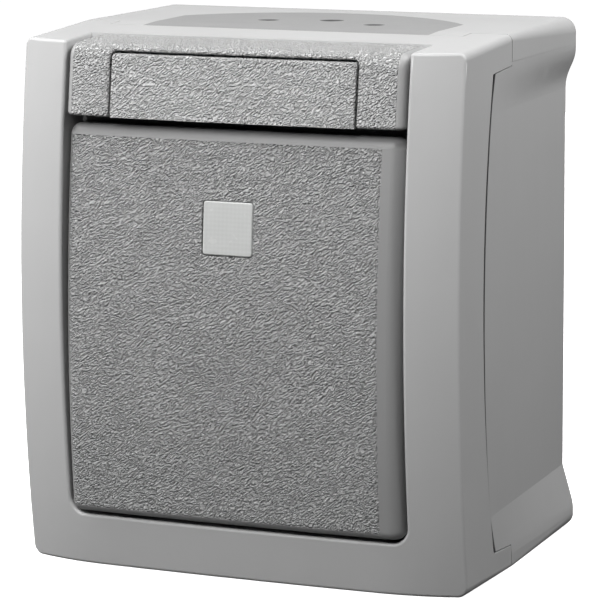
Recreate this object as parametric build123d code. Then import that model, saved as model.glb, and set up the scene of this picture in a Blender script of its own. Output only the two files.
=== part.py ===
"""Surface mounted rocker switch with a cable membrane on top.

X runs to the right, Y runs into the wall, Z runs up. The origin is the centre
of the back face, so the wall plane is y = 0 and the front faces minus Y.
All sizes are in millimetres. A depth is a distance in front of the wall plane.
"""

import os
from math import asin, cos, degrees, radians, sin

from build123d import *

# Overall size and the bowed front
width = 68.9                 # at the foot of the housing
height = 78.2
rim_depth = 52.7             # where the front's shoulders begin
head_lean_rear = 0.2         # each side leans in by this much at the top, at the wall
head_lean_front = 0.4        # and by this much at the front
edge_fall = 2.5              # the front's outer edge lies this far behind the rim
crown = 0.35                 # bow of the front between the shoulders
front_radius = 245.0         # large arc of the front, seen from the side
front_apex_z = -0.6          # height at which that arc stands furthest out
sweep_margin = 1.5           # that arc runs on this far past the top and the bottom
core_wall = 32.7             # how far the forms that follow the front reach back
front_clear = 1.3            # the housing's form is drawn this far past the rim
top_corners = (2.3, 1.0, 1.2)       # corner radius at the wall, the taper and the front
bottom_corners = (1.8, 0.6, 1.8)
edge_round = 0.5             # rounding of the frame's front edges
rim_round = 0.4              # rounding of the opening's edges
back_edge_round = 0.8        # rounding of the housing's rear edges

# Wall sections and clearances of the housing
taper_length = 24.7          # the frame tapers from this far behind the rim
frame_top_fall = 1.2
frame_bottom_rise = 0.1
skirt_wall = 1.8             # frame wall that overlaps the rear box
front_wall = 2.2             # frame's front border
rim_wall = 1.8               # wall round the frame's opening
joint_gap = 0.12             # clearance between moulded pieces that mate
snug_gap = 0.05              # clearance where a piece is trapped by another
least_corner = 0.5           # smallest corner radius of a nested outline

# Seam between the front frame and the rear box, measured behind the rim
seam_top_back = 20.5         # seam on the top and bottom faces
seam_tab_back = 23.8         # seam at the four corner tabs
seam_side_back = 12.0        # seam on the side faces, at mid height
seam_side_radius = 144.0
seam_upper_z = 34.2          # where the upper tabs begin
seam_lower_z = -35.2         # where the lower tabs begin
seam_step_rise = 0.5         # slope of a tab's edge
seam_tab_x = 28.0
seam_side_line = 0.55        # open line along the side seam
seam_line = 0.15             # open line round the tabs and across the top

# Rear box
back_wall = 2.4
tongue_wall = 1.3            # lip of the box that reaches into the frame
tongue_back = 3.0            # the lip ends this far behind the frame's plate
recess_rear = 2.0            # side recess at the wall plane
recess_front = 0.3           # side recess near the seam
recess_front_back = 10.7     # its front end, behind the rim
recess_low = -37.4
recess_facet_z = -34.4       # the flat ramp runs from here up to the recess floor
recess_floor_low = -29.8
recess_floor_high = 28.4
recess_high = 35.2
recess_facet_part = 0.68     # share of the recess that the flat ramp climbs
knockout_radius = 10.2
knockout_groove = 1.2
knockout_web = 1.0
back_knockout_radius = 7.0
wall_screw_x = 20.0
wall_screw_z = 16.0
wall_screw_radius = 2.2
wall_boss_radius = 4.6
wall_boss_height = 2.2

# Cable membrane on the top face
membrane_half = 22.6
membrane_rear = 6.4
membrane_shoulder = 17.6
membrane_skin = 1.3
membrane_wall = 1.5
membrane_flange = 1.5
membrane_flange_wall = 0.9
membrane_gap = 0.05
pierce_points = [(-7.6, 12.4, 1.7), (1.6, 14.8, 1.9), (10.2, 10.4, 1.7)]   # x, behind the seam, radius
pierce_depth = 0.8
pierce_tip = 0.3

# Opening of the frame, and the plate behind it
side_border = 8.25           # from the housing's foot to the side of the trim and the key
foot_border = 7.8            # from the housing's foot up to the opening
fascia_gap = 0.35            # open line between the frame and the trim or the key
opening_radius = 2.4
web_back = 8.5               # plate behind the rim
web_wall = 2.0
web_clear = 0.3
seal_rib = 0.7

# Top trim and label cover
shoulder_inset = 4.2         # from the trim's side to the shoulder of the front
fascia_wall = 2.0
trim_height = 11.6
trim_back = 6.7              # behind the rim
trim_step = 0.2              # the trim lies this far under the frame's top face
trim_seat_gap = 0.1
trim_lip_length = 3.1        # lip of the trim in the frame's top face
trim_lip_wall = 0.8
trim_top_round = 2.4
trim_side_round = 1.5
trim_foot_round = 0.5
label_margin = 7.15          # from the trim's side to the label cover
label_fall = 2.4             # from the housing's top to the label cover
label_gap = 0.3
label_corner = 0.6
label_round = 0.3
label_ledge = 1.4
label_ledge_wall = 0.9
trim_clip_inset = 3.8
trim_clip_fall = 6.1
trim_clip_width = 3.6
trim_clip_wall = 1.3
trim_clip_hook = 0.6
trim_clip_barb = 1.2

# Rocker key
key_head_gap = 1.3           # open groove between the trim and the key
key_foot_gap = 0.45
key_back = 5.4               # behind the rim
key_side_round = 2.2
key_head_round = 1.7
key_foot_round = 1.4
key_corner = 0.8             # inside corners of the shell
swing_half = 1.8             # tilt either side of the middle, degrees
pivot_back = 7.7             # behind the rim
mech_z = -2.3                # height of the pivot and of the switch insert

# Indicator lens, its flange and light guide
lens_side = 7.72
lens_gap = 0.1
lens_z = 12.35
lens_corner = 0.5
lens_round = 0.25
lens_flange = 0.9
lens_flange_wall = 0.8
guide_radius = 1.6
guide_back = 6.5             # behind the rim

# Cradle under the key
cradle_half_x = 14.3
cradle_half_z = 12.6
cradle_front_back = 3.3      # behind the rim
cradle_wall = 2.2
hub_radius = 3.1
sleeve_radius = 3.6
sleeve_length = 10.0         # behind the pivot
sleeve_bore = 2.3
sleeve_bore_rise = 1.0       # in front of the pivot
trunnion_radius = 1.5
trunnion_clear = 0.06
trunnion_inset = 0.2
clip_x = 8.0
clip_width = 5.0
clip_wall = 1.4
clip_hook = 0.7
clip_hook_wall = 0.7
clip_clear = 0.12
key_rib_x = 2.6
key_rib_wall = 1.4
key_rib_set_back = (1.0, 4.0)

# Spring plunger
plunger_radius = 1.5
plunger_stem_radius = 1.1
plunger_stem_back = 1.0      # behind the pivot
plunger_gap = 0.3            # tip to contact bridge
collar_fit = 0.08
collar_back = 7.0            # behind the pivot
collar_wall = 3.8
spring_wire = 0.3
spring_turns = 6
spring_clear = 0.12

# Switch insert, front half and rear half
insert_nose_half = 17.5
insert_rim = 1.5             # the body of the insert is wider than its nose by this much
insert_rise = 0.4            # the nose stands out of the frame's plate by this much
insert_step_back = 6.8       # behind the plate
insert_cover_wall = 11.9     # from the step to the joint between the halves
insert_base_wall = 8.5
insert_corner = 1.2
chamber_half_x = 6.0
chamber_half_z = 12.0
hub_pocket_half_z = 4.5
hub_pocket_back = 3.8        # behind the pivot
ear_inner = 15.4
ear_radius = 3.1

# Contact bridge
bridge_rise = 3.1            # in front of the joint between the halves
bridge_half_x = 3.4
bridge_half_z = 10.6
bridge_wall = 1.0
bridge_tilt = 6.0
contact_z = 9.0
contact_radius = 1.5
contact_height = 0.8
rivet_head = 0.3
contact_gap = 0.12
contact_seat = 0.5           # how far a fixed contact is set into its strip
knife_radius = 0.7
knife_half_x = 2.6
knife_gap = 0.15

# Terminals
strip_wall = 1.0
strip_half = 2.0
strip_clear = 0.1
block_half = 3.5
block_x = 12.0
block_z = 13.5
block_wall = 7.0
wire_radius = 1.4
wire_entry_radius = 1.9
wire_z = 12.6
terminal_screw_radius = 1.5
terminal_screw_tip = 14.3
terminal_screw_fit = 0.05
terminal_head_radius = 2.4
terminal_head_height = 1.6
terminal_hole_radius = 2.7

# Retainer plate and its screws
retainer_inset = 2.8         # from the wall of the box
retainer_rim = 1.1           # above and below its window
retainer_wall = 1.0
retainer_corner = 2.0
retainer_clear = 0.15
retainer_screw_inset = 6.2   # from the wall of the box
retainer_screw_radius = 1.5
retainer_screw_length = 10.4
retainer_head_radius = 2.7
retainer_head_height = 1.8
retainer_tower_radius = 3.3

# Frame screws and their sealing washers
upper_screw_inset = 9.55     # from the side of the opening
upper_screw_fall = 6.8       # from the housing's top
lower_screw_inset = 6.05
lower_screw_rise = 6.0       # from the foot of the opening
screw_radius = 1.4
screw_fit = 0.08
screw_length = 11.2
head_radius = 2.7
head_height = 2.0
washer_radius = 2.6
washer_height = 0.8
screw_tower_radius = 2.5
tower_gap = 0.3
rib_wall = 1.6
drive_slot = 0.9
drive_depth = 0.8
blind_rest = 1.0             # a hole is drilled this far past the end of its screw

# Pilot lamp
lamp_z = 14.65
lamp_radius = 1.3
lamp_back = 0.7              # behind the nose of the insert
lamp_base_back = 4.6
lamp_base_wall = 2.4
lamp_base_half_x = 2.6
lamp_base_half_z = 1.4
lamp_pocket_clear = 0.25

# Insert screws
insert_screw_x = 9.5
insert_screw_z = -4.9
insert_screw_radius = 1.2
insert_head_radius = 2.0
insert_head_back = 4.0       # behind the nose of the insert
insert_head_height = 1.3
insert_screw_reach = 6.0     # behind the joint between the halves

# Values worked out from the sizes above
reach = 90.0
half_w = width / 2
half_h = height / 2
edge_depth = rim_depth - edge_fall
core_depth = rim_depth - core_wall
taper_depth = rim_depth - taper_length
form_depth = rim_depth + front_clear
front_sweep = degrees(asin((half_h + sweep_margin) / (front_radius - core_wall)))
seam_top_depth = rim_depth - seam_top_back
seam_tab_depth = rim_depth - seam_tab_back
seam_side_depth = rim_depth - seam_side_back
recess_front_depth = rim_depth - recess_front_back
knockout_depth = seam_top_depth / 2
fascia_half = half_w - side_border
opening_half = fascia_half + fascia_gap
opening_bottom = foot_border - half_h
shoulder_x = fascia_half - shoulder_inset
web_depth = rim_depth - web_back
web_rear = web_depth - web_wall
tongue_depth = web_depth - tongue_back
trim_bottom = half_h - trim_height
trim_back_depth = rim_depth - trim_back
trim_lip_depth = web_depth - trim_lip_length
label_half = fascia_half - label_margin
label_top = half_h - label_fall
trim_clip_x = fascia_half - trim_clip_inset
trim_clip_z = half_h - trim_clip_fall
key_top = trim_bottom - key_head_gap
key_bottom = opening_bottom + key_foot_gap
key_back_depth = rim_depth - key_back
pivot_depth = rim_depth - pivot_back
guide_depth = rim_depth - guide_back
cradle_front = rim_depth - cradle_front_back
cradle_back = cradle_front - cradle_wall
sleeve_depth = pivot_depth - sleeve_length
sleeve_bore_end = pivot_depth + sleeve_bore_rise
trunnion_end = insert_nose_half - trunnion_inset
plunger_stem_depth = pivot_depth - plunger_stem_back
collar_front = pivot_depth - collar_back
collar_rear = collar_front - collar_wall
insert_half = insert_nose_half + insert_rim
insert_front = web_depth + insert_rise
insert_step = web_depth - insert_step_back
insert_split = insert_step - insert_cover_wall
insert_back = insert_split - insert_base_wall
block_depth = insert_split - block_wall
hub_pocket_depth = pivot_depth - hub_pocket_back
lamp_front = insert_front - lamp_back
lamp_base_front = insert_front - lamp_base_back
lamp_pocket_depth = lamp_base_front - lamp_base_wall
insert_head_seat = insert_front - insert_head_back
insert_screw_end = insert_split - insert_screw_reach
bridge_depth = insert_split + bridge_rise
plunger_tip_depth = bridge_depth + bridge_wall / 2 + plunger_gap
knife_rest = bridge_wall / 2 + knife_gap + knife_radius
knife_depth = bridge_depth - knife_rest
contact_swing = (contact_z + contact_radius) * sin(radians(bridge_tilt))
contact_rest = (knife_gap + knife_radius - contact_height) * cos(radians(bridge_tilt))
fixed_contact_depth = knife_depth - contact_swing + contact_rest - contact_gap
cavity_x = half_w - skirt_wall - joint_gap - tongue_wall
cavity_z = half_h - skirt_wall - joint_gap - tongue_wall
retainer_half_x = cavity_x - retainer_inset
retainer_half_z = insert_nose_half + retainer_rim
retainer_screw_x = cavity_x - retainer_screw_inset
retainer_front = insert_step + retainer_wall
retainer_screw_end = insert_step - retainer_screw_length
washer_front = web_depth + washer_height
screw_end = web_depth - screw_length
upper_screw = (opening_half - upper_screw_inset, half_h - upper_screw_fall)
lower_screw = (opening_half - lower_screw_inset, opening_bottom + lower_screw_rise)
frame_screw_places = [
    (side * x, z) for x, z in (upper_screw, lower_screw) for side in (-1, 1)
]
arc_axis = Axis((0, front_radius - rim_depth, front_apex_z), (1, 0, 0))
pivot_axis = Axis((0, -pivot_depth, mech_z), (1, 0, 0))
bridge_axis = Axis((0, -knife_depth, mech_z), (1, 0, 0))


# Small solids placed by their limits
def block(x0, x1, y0, y1, z0, z1):
    """Box between two corners."""
    middle = Pos((x0 + x1) / 2, (y0 + y1) / 2, (z0 + z1) / 2)
    return middle * Box(abs(x1 - x0), abs(y1 - y0), abs(z1 - z0))


def slab(y0, y1):
    """Everything between two depths, given as places along Y."""
    return block(-reach, reach, y0, y1, -reach, reach)


def rod_x(radius, y, z, x0, x1):
    """Cylinder along X."""
    return Pos((x0 + x1) / 2, y, z) * Rot(0, 90, 0) * Cylinder(radius, abs(x1 - x0))


def rod_y(radius, x, z, y0, y1):
    """Cylinder along Y."""
    return Pos(x, (y0 + y1) / 2, z) * Rot(90, 0, 0) * Cylinder(radius, abs(y1 - y0))


def rod_z(radius, x, y, z0, z1):
    """Cylinder along Z."""
    return Pos(x, y, (z0 + z1) / 2) * Cylinder(radius, abs(z1 - z0))


def front_plane(y, z=0.0):
    """Plane that faces the front, with Z up in it."""
    return Plane(origin=(0, y, z), x_dir=(1, 0, 0), z_dir=(0, -1, 0))


def upright(sketch, y0, y1, z=0.0):
    """Prism of a front-view outline between two depths."""
    return extrude(front_plane(max(y0, y1), z) * sketch, amount=abs(y1 - y0))


def rounded(half_x, half_z, radius, y0, y1, z=0.0):
    """Upright prism of a rounded rectangle."""
    return upright(RectangleRounded(2 * half_x, 2 * half_z, radius), y0, y1, z)


def both_sides(solid):
    """A solid together with its mirror image across the middle."""
    return solid + mirror(solid, about=Plane.YZ)


def tilt(solid):
    """Turns a piece that is drawn level into the key's rest position."""
    return solid.rotate(pivot_axis, -swing_half)


def slotted_head(radius, x, z, seat, tall):
    """Screw head with a driver slot, standing on a seat depth."""
    head = rod_y(radius, x, z, -seat, -seat - tall)
    top = -seat - tall
    half = drive_slot / 2
    slot = block(x - radius, x + radius, top, top + drive_depth, z - half, z + half)
    return head - slot


# Edges that get a rounding
def upright_edges(solid, x):
    """The front edge that runs from top to bottom on either side of the middle."""
    edges = [edge for edge in solid.edges() if abs(abs(edge.center().X) - x) < joint_gap]
    tall = [edge for edge in edges if edge.bounding_box().size.Z > trim_height / 2]
    return sorted(tall, key=lambda edge: edge.center().Y)[:2]


def level_edges(solid, z, rear):
    """Edges that lie at one height, apart from those on the rear face."""
    edges = [edge for edge in solid.edges() if abs(edge.center().Z - z) < snug_gap]
    return [
        edge
        for edge in edges
        if edge.bounding_box().size.Z < snug_gap and edge.center().Y < rear - joint_gap
    ]


def rim_edges(solid, y):
    """Every edge whose rearmost point lies in front of a place along Y."""
    return [edge for edge in solid.edges() if edge.bounding_box().max.Y < y]


# Curved front shared by the frame, the trim, the label cover and the key
def front_body(inset):
    """Everything behind the bowed front surface, moved back by an inset."""
    start = (shoulder_x, -rim_depth + inset)
    middle = (0, -rim_depth - crown + inset)
    top = ThreePointArc((-start[0], start[1]), middle, start)
    right = TangentArc(start, (half_w, -edge_depth + inset), tangent=top % 1)
    lip = Line(right @ 1, right @ 1 + right % 1 * 2)
    corner = lip @ 1
    rear = Polyline(
        (corner.X, corner.Y), (corner.X, -core_depth), (-corner.X, -core_depth), (-corner.X, corner.Y)
    )
    left = mirror(right, about=Plane.YZ)
    left_lip = mirror(lip, about=Plane.YZ)
    outline = make_face(top + right + lip + rear + left_lip + left)
    face = (Pos(0, 0, front_apex_z) * outline).rotate(arc_axis, -front_sweep)
    return revolve(face, axis=arc_axis, revolution_arc=2 * front_sweep)


def housing_section(y, lean, fall, rise, corners, inset):
    """Front view of the housing at one place along Y, moved in by an inset."""
    foot = half_w - inset
    head = foot - lean
    top = half_h - fall - inset
    bottom = -half_h + rise + inset
    shape = make_face(Polyline((-foot, bottom), (foot, bottom), (head, top), (-head, top), close=True))
    for group, radius in ((-1, corners[0]), (0, corners[1])):
        nested = max(radius - inset, least_corner)
        shape = fillet(shape.vertices().group_by(Axis.Y)[group], radius=nested)
    return front_plane(y) * shape


def housing_form(inset):
    """The housing's outer form: straight at the rear, tapered in front."""
    corners = list(zip(top_corners, bottom_corners))
    lean = head_lean_rear + (head_lean_front - head_lean_rear) * taper_depth / form_depth
    sections = [
        housing_section(0, head_lean_rear, 0, 0, corners[0], inset),
        housing_section(-taper_depth, lean, 0, 0, corners[1], inset),
        housing_section(
            -form_depth, head_lean_front, frame_top_fall, frame_bottom_rise, corners[2], inset
        ),
    ]
    return loft(sections[:2], ruled=True) + loft(sections[1:], ruled=True)


def nested_form(inset):
    """Form that nests in the frame's skirt with an extra inset."""
    return housing_form(skirt_wall + inset)


# Seam between the frame and the rear box
def seam_zone(side_line=0.0, line=0.0):
    """Everything in front of the seam, moved back by the open lines."""
    upper_z = seam_upper_z - line
    lower_z = seam_lower_z + line
    tab = -seam_tab_depth + line

    def side_y(z):
        """Place of the side seam at a height."""
        return z * z / (2 * seam_side_radius) - seam_side_depth + side_line

    arc = ThreePointArc((side_y(lower_z), lower_z), (side_y(0), 0), (side_y(upper_z), upper_z))
    rest = Polyline(
        (side_y(upper_z), upper_z),
        (tab, upper_z + seam_step_rise),
        (tab, reach),
        (-reach, reach),
        (-reach, -reach),
        (tab, -reach),
        (tab, lower_z - seam_step_rise),
        (side_y(lower_z), lower_z),
    )
    right = extrude(Plane.YZ * make_face(arc + rest), amount=reach)
    right -= block(-1, seam_tab_x - line, -2 * reach, reach, -2 * reach, 2 * reach)
    middle = block(-seam_tab_x, seam_tab_x, -reach, -seam_top_depth + line, -reach, reach)
    return both_sides(right) + middle


# Housing
def make_front_frame():
    """Front frame: borders, skirt, sealing rib and the plate behind the key."""
    outer = housing_form(0) & front_body(0)
    rims = [
        edge
        for edge in rim_edges(outer, -web_depth)
        if abs(edge.center().X) > opening_half or abs(edge.center().Z) > label_top
    ]
    outer = fillet(rims, radius=edge_round)
    tall = 2 * reach
    outer -= rounded(
        opening_half, tall / 2, opening_radius, -reach, -web_depth, opening_bottom + tall / 2
    )
    lip_seat = housing_form(0) - housing_form(trim_step + trim_lip_wall + trim_seat_gap)
    lip_seat &= block(
        -opening_half, opening_half, -reach, -trim_lip_depth + trim_seat_gap, trim_clip_z, reach
    )
    outer -= lip_seat
    outer = fillet(upright_edges(outer, opening_half), radius=rim_round)
    half = opening_half + rim_wall
    shell = outer - (housing_form(skirt_wall) & front_body(front_wall))
    plate = outer & block(-half, half, -reach, -web_rear, opening_bottom - rim_wall, reach)
    rib_middle = joint_gap + tongue_wall / 2
    rib = nested_form(rib_middle - seal_rib / 2) - nested_form(rib_middle + seal_rib / 2)
    frame = shell + plate + (rib & slab(-reach, -web_rear) & outer)
    window = insert_nose_half + web_clear
    frame -= rounded(window, window, insert_corner, -reach, 0, mech_z)
    for x, z in frame_screw_places:
        frame -= rod_y(screw_radius + screw_fit, x, z, -reach, 0)
    slot = block(
        trim_clip_x - joint_gap,
        trim_clip_x + trim_clip_wall + trim_clip_hook + joint_gap,
        -reach,
        0,
        trim_clip_z - trim_clip_width / 2 - joint_gap,
        trim_clip_z + trim_clip_width / 2 + joint_gap,
    )
    frame -= both_sides(slot)
    return frame & seam_zone()


def recess_tool():
    """Cutter for the drafted recess in the right side wall."""
    def section(y, depth, lean):
        """Outline of the recess at one place along Y."""
        floor = half_w - depth
        facet_x = floor + depth * recess_facet_part
        ramp = Line((facet_x, recess_facet_z), (floor, recess_floor_low))
        foot = Spline((half_w, recess_low), (facet_x, recess_facet_z), tangents=((0, 1), ramp % 0))
        wall = Line((floor, recess_floor_low), (floor, recess_floor_high))
        head = half_w - lean
        rise = Spline((floor, recess_floor_high), (head, recess_high), tangents=((0, 1), (0, 1)))
        outside = half_w + recess_rear
        close = Polyline(
            (head, recess_high), (outside, recess_high), (outside, recess_low), (half_w, recess_low)
        )
        return front_plane(y) * make_face(foot + ramp + wall + rise + close)

    rear = section(0, recess_rear, head_lean_rear)
    front = section(-recess_front_depth, recess_front, head_lean_front)
    return loft([rear, front], ruled=True)


def membrane_outline(grow, front_y):
    """Top view of the membrane: straight front and sides, an arc at the rear."""
    half = membrane_half + grow
    shoulder = -membrane_shoulder
    arc = ThreePointArc((-half, shoulder), (0, -membrane_rear + grow), (half, shoulder))
    rest = Polyline((half, shoulder), (half, front_y), (-half, front_y), (-half, shoulder))
    return make_face(arc + rest)


def layer(sketch, z0, z1):
    """Prism of a top-view outline between two heights."""
    return extrude(Pos(0, 0, z0) * sketch, amount=z1 - z0)


membrane_front = -seam_top_depth + seam_line


def make_rear_box():
    """Rear box with its lip, side recesses, screw towers and knock-outs."""
    outer = housing_form(0) & slab(-tongue_depth, 0)
    outer = fillet(outer.edges().group_by(Axis.Y)[-1], radius=back_edge_round)
    outer -= both_sides(recess_tool())
    box = outer - (seam_zone(seam_side_line, seam_line) - nested_form(joint_gap))
    box -= nested_form(joint_gap + tongue_wall) & slab(-reach, -back_wall)
    box -= layer(membrane_outline(0, membrane_front), cavity_z - 1, half_h + 1)

    for x, z in frame_screw_places:
        box += rod_y(screw_tower_radius, x, z, -web_rear + tower_gap, -back_wall / 2)
    lower_x, lower_z = lower_screw
    half = rib_wall / 2
    ribs = block(lower_x - half, lower_x + half, -tongue_depth, -back_wall / 2, -cavity_z, lower_z)
    ribs += block(retainer_screw_x, cavity_x, -insert_step, -back_wall / 2, mech_z - half, mech_z + half)
    tower = rod_y(retainer_tower_radius, retainer_screw_x, mech_z, -insert_step, -back_wall / 2)
    box += both_sides((ribs & nested_form(joint_gap + tongue_wall / 2)) + tower)

    for x, z in frame_screw_places:
        box -= rod_y(screw_radius + screw_fit, x, z, -reach, -screw_end + blind_rest)
    retainer_bore = retainer_screw_radius + screw_fit
    box -= both_sides(
        rod_y(retainer_bore, retainer_screw_x, mech_z, -reach, -retainer_screw_end + blind_rest)
    )
    for x in (-wall_screw_x, wall_screw_x):
        for z in (-wall_screw_z, wall_screw_z):
            box += rod_y(wall_boss_radius, x, z, -back_wall - wall_boss_height, -back_wall / 2)
            box -= rod_y(wall_screw_radius, x, z, -reach, 1)

    ring = rod_z(knockout_radius, 0, -knockout_depth, -half_h - 1, -cavity_z - knockout_web)
    ring -= rod_z(
        knockout_radius - knockout_groove, 0, -knockout_depth, -half_h - 1, -cavity_z - knockout_web
    )
    box -= ring
    back_ring = rod_y(back_knockout_radius, 0, mech_z, -back_wall + knockout_web, 1)
    back_ring -= rod_y(back_knockout_radius - knockout_groove, 0, mech_z, -back_wall + knockout_web, 1)
    return box - back_ring


def make_cable_membrane():
    """Soft membrane with three pierce points, held by a flange under the wall."""
    seat = cavity_z - membrane_gap
    front = membrane_front
    inner = -membrane_gap - membrane_wall
    inner_front = front + membrane_wall
    outline = membrane_outline(-membrane_gap, front)
    skin = layer(outline, half_h - membrane_skin, half_h)
    wall = layer(outline, seat - membrane_flange_wall, half_h - membrane_skin)
    flange = layer(
        membrane_outline(membrane_flange, -taper_depth), seat - membrane_flange_wall, seat
    )
    hollow = layer(
        membrane_outline(inner, inner_front), seat - membrane_flange_wall, half_h - membrane_skin
    )
    membrane = (skin + ((wall + flange) - hollow)) & housing_form(0)
    for x, back, radius in pierce_points:
        cone = Cone(pierce_tip, radius, pierce_depth)
        membrane -= Pos(x, back - seam_top_depth, half_h - pierce_depth / 2) * cone
    return membrane


def make_box_gasket():
    """Seal between the lip of the box and the frame's rib."""
    gasket = nested_form(2 * joint_gap) - nested_form(tongue_wall)
    return gasket & slab(-web_rear, -tongue_depth)


# Top trim and label cover
def label_prism(grow):
    """Upright prism of the label field, open at the bottom."""
    top = label_top + grow
    return rounded(label_half + grow, top / 2, label_corner + grow, -reach, 0, top / 2)


def make_top_trim():
    """Textured trim over the frame's top border, with a seat for the cover."""
    outer = front_body(0) & housing_form(trim_step)
    outer &= block(-fascia_half, fascia_half, -reach, -trim_lip_depth, trim_bottom, reach)
    crest = [edge for edge in rim_edges(outer, -web_depth) if edge.bounding_box().min.Z > label_top]
    outer = fillet(crest, radius=trim_top_round)
    outer = fillet(upright_edges(outer, fascia_half), radius=trim_side_round)
    outer = fillet(level_edges(outer, trim_bottom, -trim_lip_depth), radius=trim_foot_round)
    outer -= housing_form(trim_step + trim_lip_wall) & slab(-web_depth - trim_seat_gap, 0)
    hollow = front_body(fascia_wall) & housing_form(trim_step + fascia_wall)
    inner_x = fascia_half - fascia_wall
    hollow &= block(-inner_x, inner_x, -reach, 0, trim_bottom + fascia_wall, reach)
    trim = outer - hollow
    trim -= block(-reach, reach, -trim_back_depth, 0, -reach, label_top - 1)

    clear = label_gap / 2
    behind = front_body(fascia_wall + clear)
    trim -= label_prism(clear) - behind
    trim = fillet(upright_edges(trim, label_half + clear), radius=label_round)
    ledge = behind - front_body(fascia_wall + clear + label_ledge_wall)
    ledge &= block(
        -label_half - label_ledge,
        label_half + label_ledge,
        -reach,
        0,
        trim_bottom,
        label_top + label_ledge,
    ) - block(
        -label_half + label_ledge, label_half - label_ledge, -reach, 0, 0, label_top - label_ledge
    )
    trim += ledge & outer
    leg = block(
        trim_clip_x,
        trim_clip_x + trim_clip_wall,
        -reach,
        -web_rear + trim_clip_barb,
        trim_clip_z - trim_clip_width / 2,
        trim_clip_z + trim_clip_width / 2,
    )
    leg += block(
        trim_clip_x,
        trim_clip_x + trim_clip_wall + trim_clip_hook,
        -web_rear + joint_gap,
        -web_rear + trim_clip_barb,
        trim_clip_z - trim_clip_width / 2,
        trim_clip_z + trim_clip_width / 2,
    )
    leg &= front_body(fascia_wall / 2)
    return trim + both_sides(leg)


def make_label_cover():
    """Clip-in cover of the label field, flush with the trim."""
    clear = label_gap / 2
    cover = front_body(0) - front_body(fascia_wall)
    cover &= label_prism(-clear) & block(-reach, reach, -reach, 0, trim_bottom, reach)
    return fillet(upright_edges(cover, label_half - clear), radius=label_round)


# Rocker key and what rides on it
def make_rocker_key():
    """Rocker key: a bowed shell with four clips and two ribs for the cradle."""
    outer = front_body(0) & block(-fascia_half, fascia_half, -reach, -key_back_depth, key_bottom, key_top)
    outer = fillet(upright_edges(outer, fascia_half), radius=key_side_round)
    outer = fillet(level_edges(outer, key_top, -key_back_depth), radius=key_head_round)
    outer = fillet(level_edges(outer, key_bottom, -key_back_depth), radius=key_foot_round)
    hollow = front_body(fascia_wall) & rounded(
        fascia_half - fascia_wall,
        (key_top - key_bottom) / 2 - fascia_wall,
        key_corner,
        -reach,
        0,
        (key_top + key_bottom) / 2,
    )
    key = outer - hollow
    wall = front_body(fascia_wall / 2)

    leg_inner = cradle_half_z + clip_clear
    foot = -cradle_back + clip_hook_wall + clip_clear
    for x in (-clip_x, clip_x):
        for side in (-1, 1):
            leg = block(
                x - clip_width / 2,
                x + clip_width / 2,
                -reach,
                foot,
                mech_z + side * leg_inner,
                mech_z + side * (leg_inner + clip_wall),
            )
            hook = block(
                x - clip_width / 2,
                x + clip_width / 2,
                -cradle_back + clip_clear,
                foot,
                mech_z + side * (leg_inner - clip_hook),
                mech_z + side * leg_inner,
            )
            key += (leg & wall) + hook
    for x in (-key_rib_x, key_rib_x):
        rib = block(
            x - key_rib_wall / 2,
            x + key_rib_wall / 2,
            -reach,
            -cradle_front - snug_gap,
            mech_z - cradle_half_z + key_rib_set_back[0],
            mech_z + cradle_half_z - key_rib_set_back[1],
        )
        key += rib & wall
    hole = lens_side / 2 + lens_gap
    key -= rounded(hole, hole, lens_corner, -reach, 0, lens_z)
    return tilt(key)


def make_indicator_lens():
    """Square lens with a flange behind the key and a light guide."""
    half = lens_side / 2
    plate = front_body(0) - front_body(fascia_wall + snug_gap)
    lens = plate & rounded(half, half, lens_corner, -reach, 0, lens_z)
    lens = fillet(rim_edges(lens, -rim_depth + fascia_wall / 2), radius=lens_round)
    wide = half + lens_flange
    flange = front_body(fascia_wall + snug_gap) - front_body(fascia_wall + lens_flange_wall)
    lens += flange & rounded(wide, wide, lens_corner, -reach, 0, lens_z)
    guide = rod_y(guide_radius, 0, lens_z, -guide_depth, -rim_depth)
    lens += guide & front_body(fascia_wall)
    return tilt(lens)


def make_rocker_cradle():
    """Cradle with its hub, trunnions and the sleeve that holds the plunger."""
    cradle = rounded(cradle_half_x, cradle_half_z, 1.0, -cradle_front, -cradle_back, mech_z)
    cradle += rod_x(hub_radius, -pivot_depth, mech_z, -cradle_half_x, cradle_half_x)
    cradle += rod_x(trunnion_radius, -pivot_depth, mech_z, -trunnion_end, trunnion_end)
    cradle += rod_y(sleeve_radius, 0, mech_z, -cradle_back - 1, -sleeve_depth)
    cradle -= rod_y(sleeve_bore, 0, mech_z, -sleeve_bore_end, 0)
    return tilt(cradle)


def make_contact_plunger():
    """Plunger with a stem inside the spring, a guided collar and a round nose."""
    plunger = rod_y(plunger_stem_radius, 0, mech_z, -plunger_stem_depth, -collar_front)
    plunger += rod_y(sleeve_bore - collar_fit, 0, mech_z, -collar_front, -collar_rear)
    nose = -plunger_tip_depth - plunger_radius
    plunger += rod_y(plunger_radius, 0, mech_z, -collar_rear, nose)
    plunger += Pos(0, nose, mech_z) * Sphere(plunger_radius)
    return tilt(plunger)


def make_plunger_spring():
    """Coil spring between the end of the sleeve's bore and the collar."""
    coil = sleeve_bore - spring_wire - spring_clear
    start = -sleeve_bore_end + spring_wire + snug_gap
    length = sleeve_bore_end - collar_front - 2 * (spring_wire + snug_gap)
    helix = Helix(pitch=length / spring_turns, height=length, radius=coil)
    section = Plane(origin=helix @ 0, z_dir=helix % 0) * Circle(spring_wire)
    spring = sweep(section, path=helix)
    return tilt(Pos(0, start, mech_z) * Rot(-90, 0, 0) * spring)


# Switch insert
def insert_screw_places():
    """Front-view places of the two screws that hold the insert together."""
    return [(side * insert_screw_x, mech_z + insert_screw_z) for side in (-1, 1)]


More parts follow.
